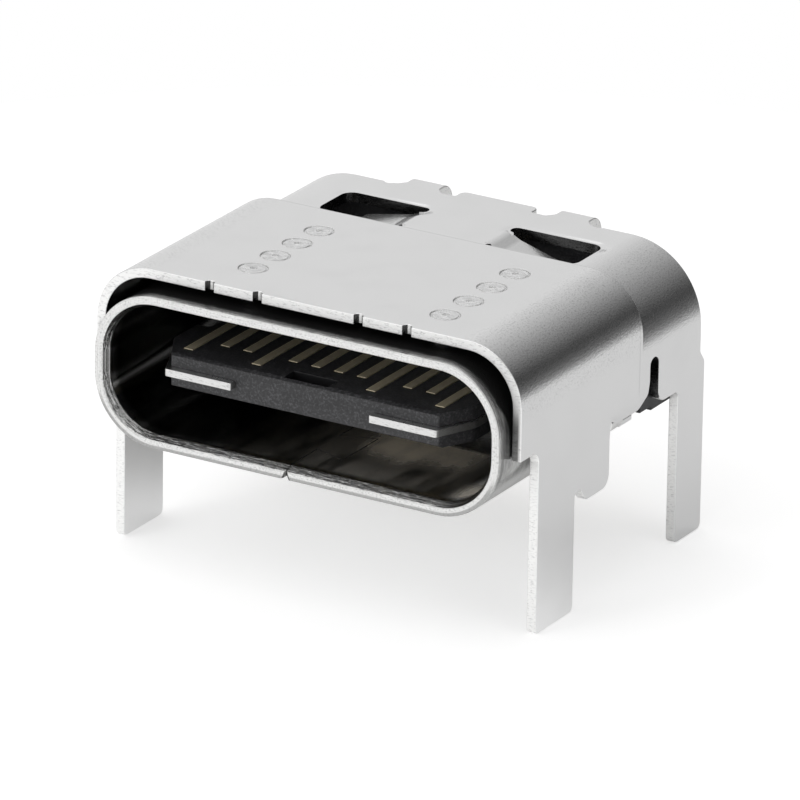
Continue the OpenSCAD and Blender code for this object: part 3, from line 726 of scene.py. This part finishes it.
@dataclass
class Piece:
    """A dressed copy of a CAD node: arcs refined, triangles joined and edges broken.

    Angles are in degrees. The share says how much of the edge break an edge gets, by its place.
    """

    node: str
    name: str
    finish: Finish
    edge_break: float
    refine: int = 1
    flat_angle: float = 0.2
    break_angle: float = 34.0
    smooth_angle: float = 50.0
    share: Optional[Share] = None
    body: bpy.types.Object = field(init=False, default=None)

    def copy_node(self) -> None:
        """Copies the CAD mesh into an object of its own, refines its arcs and makes it active."""
        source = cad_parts[self.node].data
        points, faces, normals = read_triangles(source)
        for _ in range(self.refine):
            points, faces, normals = refine_arcs(points, faces, normals)
        mesh = bpy.data.meshes.new(self.name)
        mesh.from_pydata(points.tolist(), [], faces.tolist())
        self.body = bpy.data.objects.new(self.name, mesh)
        bpy.context.scene.collection.objects.link(self.body)
        pick_only(self.body)

    def join_flats(self) -> None:
        """Dissolves the diagonals that the triangles left on flat faces."""
        bpy.ops.object.mode_set(mode="EDIT")
        bpy.ops.mesh.select_all(action="SELECT")
        bpy.ops.mesh.dissolve_limited(angle_limit=math.radians(self.flat_angle))
        bpy.ops.object.mode_set(mode="OBJECT")

    def mark_edges(self) -> None:
        """Marks each sharp edge with its share of the edge break, less where the form is fine."""
        work = bmesh.new()
        work.from_mesh(self.body.data)
        weight = work.edges.layers.float.new("bevel_weight_edge")
        least = math.radians(self.break_angle)
        for edge in work.edges:
            if len(edge.link_faces) == 2 and edge.calc_face_angle(0.0) > least:
                middle = (edge.verts[0].co + edge.verts[1].co) / (2 * MM)
                edge[weight] = self.share(middle) if self.share else 1.0
        work.to_mesh(self.body.data)
        work.free()

    def break_edges(self) -> None:
        """Breaks the sharp edges with a narrow round and turns the shading normals to the broad faces.

        The normals are weighed at millimetre size, because the modifier ignores faces below a fixed area.
        """
        self.mark_edges()
        bevel = self.body.modifiers.new("edge_break", "BEVEL")
        bevel.width = self.edge_break * MM
        bevel.segments = 2
        bevel.limit_method = "WEIGHT"
        bevel.use_clamp_overlap = False
        bevel.miter_outer = "MITER_ARC"
        bpy.ops.object.modifier_apply(modifier=bevel.name)
        bpy.ops.object.shade_smooth_by_angle(angle=math.radians(self.smooth_angle))
        self.body.data.transform(Matrix.Scale(1 / MM, 4))
        weighted = self.body.modifiers.new("weighted", "WEIGHTED_NORMAL")
        weighted.weight = 90
        weighted.keep_sharp = True
        bpy.ops.object.modifier_apply(modifier=weighted.name)
        self.body.data.transform(Matrix.Scale(MM, 4))

    def shape(self) -> None:
        """Makes the mesh, where nothing has to be done between its steps."""
        self.copy_node()
        self.join_flats()
        self.break_edges()

    def dress(self, materials: list[bpy.types.Material], rules: tuple[Rule, ...] = ()) -> None:
        """Gives the piece its materials.

        Args:
            materials: The first is the default, and each of the rest belongs to the rule beside it.
            rules: Tests on a face for the second and later materials.
        """
        for material in materials:
            self.body.data.materials.append(material)
        for face in self.body.data.polygons:
            for index, rule in enumerate(rules, start=1):
                if rule(face):
                    face.material_index = index
                    break

    def seat(self) -> None:
        """Hands the piece to the frame in place of its CAD node."""
        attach(self.body, "root")
        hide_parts(self.node)
        LOG.info("%s: %d faces", self.name, len(self.body.data.polygons))


def pick_only(body: bpy.types.Object) -> None:
    """Selects one object alone and makes it active.

    Args:
        body: The object.
    """
    bpy.ops.object.select_all(action="DESELECT")
    body.select_set(True)
    bpy.context.view_layer.objects.active = body


SAME_PLACE = 1e-8  # metres within which two vertices are one
LEAST_LIFT = 1e-9  # metres below which an edge counts as straight
FLATTEST_FOLD = 0.25  # share below which two faces' normals count as one direction


def read_triangles(mesh: bpy.types.Mesh) -> tuple[np.ndarray, np.ndarray, np.ndarray]:
    """Reads a CAD mesh with its doubled vertices joined.

    Args:
        mesh: Triangles with exact corner normals.

    Returns:
        Points, faces as vertex numbers, and a normal for each corner of each face.
    """
    points = np.empty(len(mesh.vertices) * 3)
    mesh.vertices.foreach_get("co", points)
    points = points.reshape(-1, 3)
    corners = np.empty(len(mesh.loops), int)
    mesh.loops.foreach_get("vertex_index", corners)
    normals = np.empty(len(mesh.loops) * 3)
    mesh.corner_normals.foreach_get("vector", normals)
    keys = np.round(points / SAME_PLACE).astype(np.int64)
    _, first, same = np.unique(keys, axis=0, return_index=True, return_inverse=True)
    faces = same.reshape(-1)[corners].reshape(-1, 3)
    return points[first], faces, normals.reshape(-1, 3, 3)


def refine_arcs(
    points: np.ndarray, faces: np.ndarray, normals: np.ndarray
) -> tuple[np.ndarray, np.ndarray, np.ndarray]:
    """Halves every edge and moves its middle out to the arc that the normals at its ends describe.

    Args:
        points: Vertex places.
        faces: Triangles as vertex numbers.
        normals: A normal for each corner.

    Returns:
        The finer points, faces and normals.
    """
    middles: dict[tuple[int, int], int] = {}
    lifts: dict[int, list[tuple[np.ndarray, float]]] = {}
    new_points = list(points)
    new_faces, new_normals = [], []
    for face, corner in zip(faces, normals):
        mids, mid_normals = [], []
        for a, b in ((0, 1), (1, 2), (2, 0)):
            pair = (min(face[a], face[b]), max(face[a], face[b]))
            if pair not in middles:
                middles[pair] = len(new_points)
                new_points.append((points[face[a]] + points[face[b]]) / 2)
                lifts[middles[pair]] = []
            chord = points[face[b]] - points[face[a]]
            lift = (chord @ corner[a] - chord @ corner[b]) / -8.0
            middle = corner[a] + corner[b]
            middle = middle / max(np.linalg.norm(middle), 1e-12)
            lifts[middles[pair]].append((middle, lift))
            mids.append(middles[pair])
            mid_normals.append(middle)
        (v0, v1, v2), (m0, m1, m2) = face, mids
        (n0, n1, n2), (k0, k1, k2) = corner, mid_normals
        new_faces += [(v0, m0, m2), (m0, v1, m1), (m2, m1, v2), (m0, m1, m2)]
        new_normals += [(n0, k0, k2), (k0, n1, k1), (k2, k1, n2), (k0, k1, k2)]
    for index, pushes in lifts.items():
        ways = np.array([way for way, _ in pushes])
        sizes = np.array([size for _, size in pushes])
        if np.abs(sizes).max() > LEAST_LIFT:
            new_points[index] = new_points[index] + np.linalg.pinv(ways, rcond=FLATTEST_FOLD) @ sizes
    return np.array(new_points), np.array(new_faces), np.array(new_normals)


class SkinTest:
    """Tells a sheet's rolled skin from its cut edges by the metal behind each face."""

    MOST_SHEETS = 2.2  # depth of metal, in sheet thicknesses, that still counts as skin
    START_DEPTH = 0.004  # how far inside the face the look inwards starts

    def __init__(self, body: bpy.types.Object, thickness: float) -> None:
        """Reads the finished sheet.

        Args:
            body: The sheet's object.
            thickness: Its thickness.
        """
        mesh = body.data
        work = bmesh.new()
        work.from_mesh(mesh)
        self.tree = BVHTree.FromBMesh(work)
        work.free()
        self.most = thickness * self.MOST_SHEETS * MM
        mesh.calc_loop_triangles()
        broad: dict[int, bpy.types.MeshLoopTriangle] = {}
        for part in mesh.loop_triangles:
            held = broad.get(part.polygon_index)
            if held is None or part.area > held.area:
                broad[part.polygon_index] = part
        self.spots = {
            index: sum((mesh.vertices[v].co for v in part.vertices), Vector()) / 3
            for index, part in broad.items()
        }

    def cut(self, face: bpy.types.MeshPolygon) -> bool:
        """Whether a face is a cut edge, with far more metal behind it than the sheet is thick.

        Args:
            face: A face of the sheet.

        Returns:
            True for a cut edge.
        """
        start = self.spots[face.index] - face.normal * self.START_DEPTH * MM
        hit = self.tree.ray_cast(start, -face.normal)
        return hit[0] is None or hit[3] > self.most


# ---------------------------------------------------------------- sub-assemblies


OPEN = math.inf


@dataclass(frozen=True)
class Zone:
    """A region with a lower and an upper limit on each axis, the same on both sides of the middle."""

    x: Span = (-OPEN, OPEN)
    y: Span = (-OPEN, OPEN)
    z: Span = (-OPEN, OPEN)

    def holds(self, spot: Vector) -> bool:
        """Whether a place lies inside, with x taken without its sign."""
        values = (abs(spot[0]), spot[1], spot[2])
        return all(low < value < high for value, (low, high) in zip(values, (self.x, self.y, self.z)))


@dataclass
class Cover:
    """The stamped outer shell with its legs, windows and welds."""

    thickness: float = 0.2
    edge_break: float = 0.024
    fine_share: float = 0.15
    kinks: Span = (4.83, 5.03)
    hems: Zone = Zone(y=(3.8, 5.4), z=(1.0, 1.9))
    spring_tabs: Zone = Zone((0.6, 3.1), (5.1, 6.6), (2.9, OPEN))
    weld_field: Zone = Zone((1.2, 3.0), (0.9, 4.7), (3.6, OPEN))
    notches: Zone = Zone((-OPEN, 3.4), (-OPEN, 0.6), (3.3, OPEN))
    slots: Zone = Zone((4.3, OPEN), (5.3, 5.78), (1.0, 2.1))
    window_depth: float = 3.2
    welds: tuple[WeldRow, ...] = (WeldRow(-1.86, 1.55, 0.8), WeldRow(2.44, 1.37, 0.863))
    windows: tuple[Window, ...] = (Window(-2.73, -0.85), Window(1.0, 2.98))

    def near_kink(self, spot: Vector) -> float:
        """The share of the edge break at a place: less where the form makes narrow faces.

        Args:
            spot: The middle of an edge.

        Returns:
            The share, from 0 to 1.
        """
        at_step = any(abs(spot.y - y) < 0.01 for y in self.kinks)
        in_zone = any(zone.holds(spot) for zone in (self.hems, self.spring_tabs, self.weld_field))
        return self.fine_share if at_step or in_zone else 1.0

    def build(self) -> Piece:
        """Makes the shell's mesh.

        Returns:
            The shell.
        """
        shell = Piece("outer_shell", "stamped_outer_shell", Finish.SHELL, self.edge_break, share=self.near_kink)
        shell.shape()
        return shell

    def dress(self, shell: Piece) -> None:
        """Plated skin on the faces, torn metal on the cut edges, and painted shade on cut edges that lie in
        shade.

        Args:
            shell: The shell.
        """
        test = SkinTest(shell.body, self.thickness)
        skin = SatinSheet(welds=self.welds, windows=self.windows).make()
        # Painted shade: a near-black copy of the cut-edge metal for the walls of notches, slots and windows.
        shadowed = ShearedEdge("painted_shade_cut_edge", (0.1, 0.1, 0.1), (0.01, 0.01, 0.01), roughness=0.2).make()
        torn = ShearedEdge(cheek_shade=0.8).make()

        def in_shade(face: bpy.types.MeshPolygon) -> bool:
            """Whether a face is a wall of a notch that looks to +X, of a slot, or of a window.

            Args:
                face: A face of the shell.

            Returns:
                True for such a wall.
            """
            spot = test.spots[face.index] / MM
            if self.notches.holds(spot) and face.normal.x > 0.4:
                return True
            in_window = spot.z > self.window_depth and any(w.holds(spot.x, spot.y, 0.1) for w in self.windows)
            walled = self.slots.holds(spot) or (in_window and face.normal.y < 0.5)
            return walled and test.cut(face)

        shell.dress([skin, shadowed, torn], (in_shade, test.cut))
        shell.seat()


@dataclass
class Mouth:
    """The drawn inner shell that the plug enters, with the strip's two ends meeting at the seam."""

    half_straight: Span = (3.09, 0.2)
    middle: float = 1.89
    edge_break: float = 0.03
    break_angle: float = 20.0
    fine_share: float = 0.12
    seam_x: float = -0.17
    seam_half: float = 0.95
    seam_drop: float = 1.0
    end_span: Span = (-0.17, 0.07)
    end_depth: float = 0.31
    end_height: float = 0.151
    end_ease: float = 0.72
    bead_x: float = 3.7
    bead_y: Span = (4.6, 5.15)
    bead_drop: float = 0.7

    def by_seam(self, spot: Vector) -> bool:
        """Whether a place is in the lower wall, within the reach of the seam's dovetails."""
        return abs(spot[0] - self.seam_x) < self.seam_half and spot[2] < self.middle - self.seam_drop

    def near_seam(self, spot: Vector) -> float:
        """The share of the edge break at a place: hardly any along the seam and round the stop beads.

        Args:
            spot: The middle of an edge.

        Returns:
            The share, from 0 to 1.
        """
        in_seam = self.by_seam(spot) and spot.y > 0.001
        low = spot.z < self.middle - self.bead_drop
        on_bead = abs(spot.x) > self.bead_x and low and self.bead_y[0] < spot.y < self.bead_y[1]
        return self.fine_share if in_seam or on_bead else 1.0

    def in_gap(self, face: bpy.types.MeshPolygon) -> bool:
        """Whether a face is one of the seam's walls, behind the rim."""
        spot = face.center / MM
        return self.by_seam(spot) and spot.y > self.edge_break and abs(face.normal.z) < 0.6

    def ease_seam(self, shell: Piece) -> None:
        """Lowers the corners of the strip's two ends a little, so that the rim's edge break clears them.

        Args:
            shell: The shell, before its edges are broken.
        """
        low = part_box(shell.node)[0].z / MM
        start, end = (self.seam_x + offset for offset in self.end_span)
        for vertex in shell.body.data.vertices:
            x, y, z = vertex.co / MM
            if start < x < end and y < self.end_depth and z < low + self.end_height:
                vertex.co.z = (low + (z - low) * self.end_ease) * MM

    def build(self) -> Piece:
        """Makes the shell's mesh.

        Returns:
            The shell.
        """
        shell = Piece("inner_shell", "drawn_inner_shell", Finish.MOUTH, self.edge_break, share=self.near_seam)
        shell.break_angle = self.break_angle
        shell.copy_node()
        self.ease_seam(shell)
        shell.join_flats()
        shell.break_edges()
        return shell

    def dress(self, shell: Piece) -> None:
        """Brushed steel all over, dull in the seam.

        Args:
            shell: The shell.
        """
        steel = MouthSteel(self.half_straight, self.middle, self.seam_x).make()
        shell.dress([steel, SeamGap().make()], (self.in_gap,))
        shell.seat()


def shape_all(pieces: list[Piece]) -> list[Piece]:
    """Makes the meshes of a family of pieces.

    Args:
        pieces: Pieces without a mesh.

    Returns:
        The same pieces.
    """
    for piece in pieces:
        piece.shape()
    return pieces


@dataclass
class Mouldings:
    """The housing, the two wafers and the tongue."""

    edge_break: float = 0.02
    tongue_break: float = 0.012

    def build(self) -> list[Piece]:
        """Makes the four mouldings' meshes.

        Returns:
            The mouldings.
        """
        blocks = [
            Piece(node, f"moulded_{node}", Finish.HOUSING, self.edge_break)
            for node in ("housing", "upper_wafer", "lower_wafer")
        ]
        return shape_all([*blocks, Piece("tongue", "moulded_tongue", Finish.TONGUE, self.tongue_break)])

    def dress(self, pieces: list[Piece]) -> None:
        """Black plastic, a little paler on the tongue.

        Args:
            pieces: The mouldings.
        """
        black = MouldedPlastic("black_housing_plastic").make()
        tongue = MouldedPlastic("speckled_tongue_plastic", pale=(0.115, 0.115, 0.122), pocket_shade=1.0).make()
        for piece in pieces:
            piece.dress([tongue if piece.finish is Finish.TONGUE else black])
            piece.seat()


@dataclass
class Grounding:
    """The mid plate inside the tongue and the two ground pads that it carries."""

    thickness: float = 0.15
    plate_break: float = 0.012
    pad_break: float = 0.008

    def build(self) -> list[Piece]:
        """Makes the three metal pieces' meshes.

        Returns:
            The mid plate and the pads.
        """
        pads = [
            Piece(f"{side}_ground_pad", f"{side}_ground_spring_pad", Finish.SHELL, self.pad_break)
            for side in ("upper", "lower")
        ]
        return shape_all([Piece("mid_plate", "stamped_mid_plate", Finish.SHELL, self.plate_break), *pads])

    def dress(self, pieces: list[Piece]) -> None:
        """The same plated strip as the cover, with cut edges.

        Args:
            pieces: The mid plate and the pads.
        """
        skin = SatinSheet(name="ground_plate_nickel", roughness=0.24).make()
        cut = ShearedEdge("ground_plate_edge", (0.78, 0.78, 0.77), (0.5, 0.5, 0.5), rear_shade=0.5).make()
        for piece in pieces:
            test = SkinTest(piece.body, self.thickness)
            piece.dress([skin, cut], (test.cut,))
            piece.seat()


@dataclass
class Contacts:
    """The two rows of stamped contacts."""

    count: int = 12
    edge_break: float = 0.01

    def build(self) -> list[Piece]:
        """Makes the contacts' meshes.

        Returns:
            The contacts, the upper row first.
        """
        numbers = range(1, self.count + 1)
        nodes = [f"contact_{row}_{number:02d}" for row in ("upper", "lower") for number in numbers]
        return shape_all([Piece(node, f"plated_{node}", Finish.CONTACT, self.edge_break) for node in nodes])

    def dress(self, pieces: list[Piece]) -> None:
        """Gold plating on all of them.

        Args:
            pieces: The contacts.
        """
        gold = GoldPlating().make()
        for piece in pieces:
            piece.dress([gold])
            piece.seat()


# ---------------------------------------------------------------- studio


@dataclass(frozen=True)
class Flag:
    """A card that the metal reflects, with a soft edge from core to reach.

    All but the last two are degrees. A positive depth makes the card dark and a negative one bright.
    """

    azimuth: float
    elevation: float
    core: float
    reach: float
    depth: float
    falloff: float = 1.2

    def way(self) -> Vector:
        """The direction of its middle; azimuth 0 is +Y and 90 is +X."""
        a, e = math.radians(self.azimuth), math.radians(self.elevation)
        return Vector((math.sin(a) * math.cos(e), math.cos(a) * math.cos(e), math.sin(e)))


@dataclass(frozen=True)
class Lamp:
    """A soft round lamp: its place and width in metres and its power in watts."""

    name: str
    place: Triple
    size: float
    energy: float


@dataclass
class Studio:
    """A pale floor, a soft surround with cards, two lamps and the camera, which stands in metres."""

    level: float = 0.76
    zenith_lift: float = 0.6
    floor_glow: float = 0.62
    west_lift: float = 0.26
    flags: tuple[Flag, ...] = (
        Flag(36.0, 11.0, 0.0, 64.0, 0.97),
        Flag(139.0, 42.0, 6.0, 27.0, 0.95, 1.6),
        Flag(215.0, -12.0, 4.0, 46.0, -0.6, 2.0),
    )
    lamps: tuple[Lamp, ...] = (
        Lamp("soft_key", (-0.06, -0.09, 0.12), 0.08, 0.02),
        Lamp("low_fill", (-0.07, -0.13, 0.035), 0.05, 0.02),
    )
    lamp_target: Triple = (0.0, 0.003, 0.001)
    floor_radius: float = 26.0
    floor_sides: int = 96
    floor_gap: float = 0.01
    floor_middle: float = 4.0
    floor_colour: Colour = (0.66, 0.66, 0.66)
    floor_lift: float = 0.52
    camera_place: Triple = (0.0836086, -0.1389913, 0.0653282)
    camera_forward: Triple = (-0.470435, 0.804091, -0.363495)
    camera_up: Triple = (-0.196664, 0.306027, 0.931488)
    lens: float = 419.5
    sensor: float = 36.0

    def shaded(self, bench: NodeBench, way: Wire) -> Wire:
        """The surround's light in a direction, with the cards in it.

        Args:
            bench: The world's bench.
            way: The direction.

        Returns:
            The light's strength.
        """
        light: Feed = self.level
        for flag in self.flags:
            closeness = bench.node(
                "ShaderNodeVectorMath",
                {"operation": "DOT_PRODUCT"},
                {0: way, 1: tuple(flag.way())},
                output="Value",
            )
            angle = closeness.maths("ARCCOSINE", closeness) * math.degrees(1.0)
            share = ((angle - flag.core).most(0.0) / (flag.reach - flag.core)).least(1.0)
            light = (1.0 - (1.0 - share**flag.falloff) * flag.depth) * light
        return light

    def surround(self) -> None:
        """Lights everything from all round, and stays white behind the object."""
        world = bpy.data.worlds.new("studio_surround")
        bpy.context.scene.world = world
        world.use_nodes = True
        bench = NodeBench(world.node_tree)
        way = bench.node("ShaderNodeTexCoord", output="Generated")
        east = bench.node("ShaderNodeSeparateXYZ", feeds={0: way}, output=0)
        height = bench.node("ShaderNodeSeparateXYZ", feeds={0: way}, output=2)
        above = self.shaded(bench, way) * (1.0 + height.rise(0.62, 0.85) * self.zenith_lift)
        below = self.floor_glow + east.rise(0.0, -0.4) * self.west_lift
        light = above + (below - above) * height.rise(-0.04, -0.26)
        glow = bench.node("ShaderNodeBackground", feeds={"Color": WHITE, "Strength": light})
        white = bench.node("ShaderNodeBackground", feeds={"Color": WHITE, "Strength": 1.0})
        seen = bench.node("ShaderNodeLightPath", output="Is Camera Ray")
        mixed = bench.node("ShaderNodeMixShader", feeds={0: seen, 1: glow, 2: white})
        bench.end_in(mixed, "ShaderNodeOutputWorld")

    def floor(self) -> None:
        """Lays a plain pale floor under the legs, which the metal sees brighter in front of the mouth."""
        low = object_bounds()[0]
        bpy.ops.object.select_all(action="DESELECT")
        bpy.ops.mesh.primitive_circle_add(
            vertices=self.floor_sides,
            radius=self.floor_radius * MM,
            fill_type="NGON",
            location=(0.0, self.floor_middle * MM, low.z - self.floor_gap * MM),
        )
        sheet = bpy.context.object
        sheet.name = "studio_floor"
        material, bench = new_material("studio_floor_paper")
        matt = bench.node("ShaderNodeBsdfDiffuse", feeds={"Color": self.floor_colour})
        lift = bench.node("ShaderNodeEmission", feeds={"Color": WHITE, "Strength": self.floor_lift})
        nothing = bench.node("ShaderNodeEmission", feeds={"Color": BLACK, "Strength": 0.0})
        seen = bench.node("ShaderNodeLightPath", output="Is Camera Ray")
        mirrored = bench.node("ShaderNodeLightPath", output="Is Glossy Ray")
        _, y, _ = bench.place()
        seen = seen.most(mirrored * (0.28 + y.rise(2.0, -3.0) * 0.6))
        extra = bench.node("ShaderNodeMixShader", feeds={0: seen, 1: nothing, 2: lift})
        bench.end_in(bench.node("ShaderNodeAddShader", feeds={0: matt, 1: extra}))
        sheet.data.materials.append(material)
        sheet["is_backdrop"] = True

    def hang(self, lamp: Lamp) -> None:
        """Adds a lamp that looks at the object and isn't mirrored in the metal.

        Args:
            lamp: The lamp.
        """
        bpy.ops.object.light_add(type="AREA", location=lamp.place)
        light = bpy.context.object
        light.name = lamp.name
        light.data.shape = "DISK"
        light.data.size = lamp.size
        light.data.energy = lamp.energy
        aim = Vector(self.lamp_target) - light.location
        light.rotation_euler = aim.to_track_quat("-Z", "Y").to_euler()
        light.visible_glossy = False

    def camera(self) -> None:
        """Sets the camera square on its own axes."""
        bpy.ops.object.camera_add(location=self.camera_place)
        eye = bpy.context.object
        eye.name = "studio_camera"
        forward, up = Vector(self.camera_forward), Vector(self.camera_up)
        right = forward.cross(up)
        up = right.cross(forward)
        turn = eye.matrix_world.to_3x3()
        turn.col[0], turn.col[1], turn.col[2] = right.normalized(), up.normalized(), -forward.normalized()
        eye.rotation_euler = turn.to_euler()
        eye.data.lens = self.lens
        eye.data.sensor_width = self.sensor
        eye.data.clip_start, eye.data.clip_end = 0.01, 10.0
        bpy.context.scene.camera = eye

    def build(self) -> None:
        """Makes the whole studio."""
        bpy.context.scene.view_settings.view_transform = "Standard"
        self.surround()
        self.floor()
        for lamp in self.lamps:
            self.hang(lamp)
        self.camera()


def main() -> None:
    """Builds and dresses every piece, then the studio."""
    logging.basicConfig(level=logging.INFO, format="%(name)s %(message)s")
    for group in (Cover(), Mouth(), Mouldings(), Grounding(), Contacts()):
        group.dress(group.build())
    Studio().build()
    bpy.context.view_layer.update()
    boxes = {"cad": [list(v) for v in CAD_BOX], "visual": [list(v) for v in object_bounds()]}
    for name, box in boxes.items():
        LOG.info("%s box %s", name, [[round(v / MM, 3) for v in corner] for corner in box])


if __name__ == "__main__":
    main()
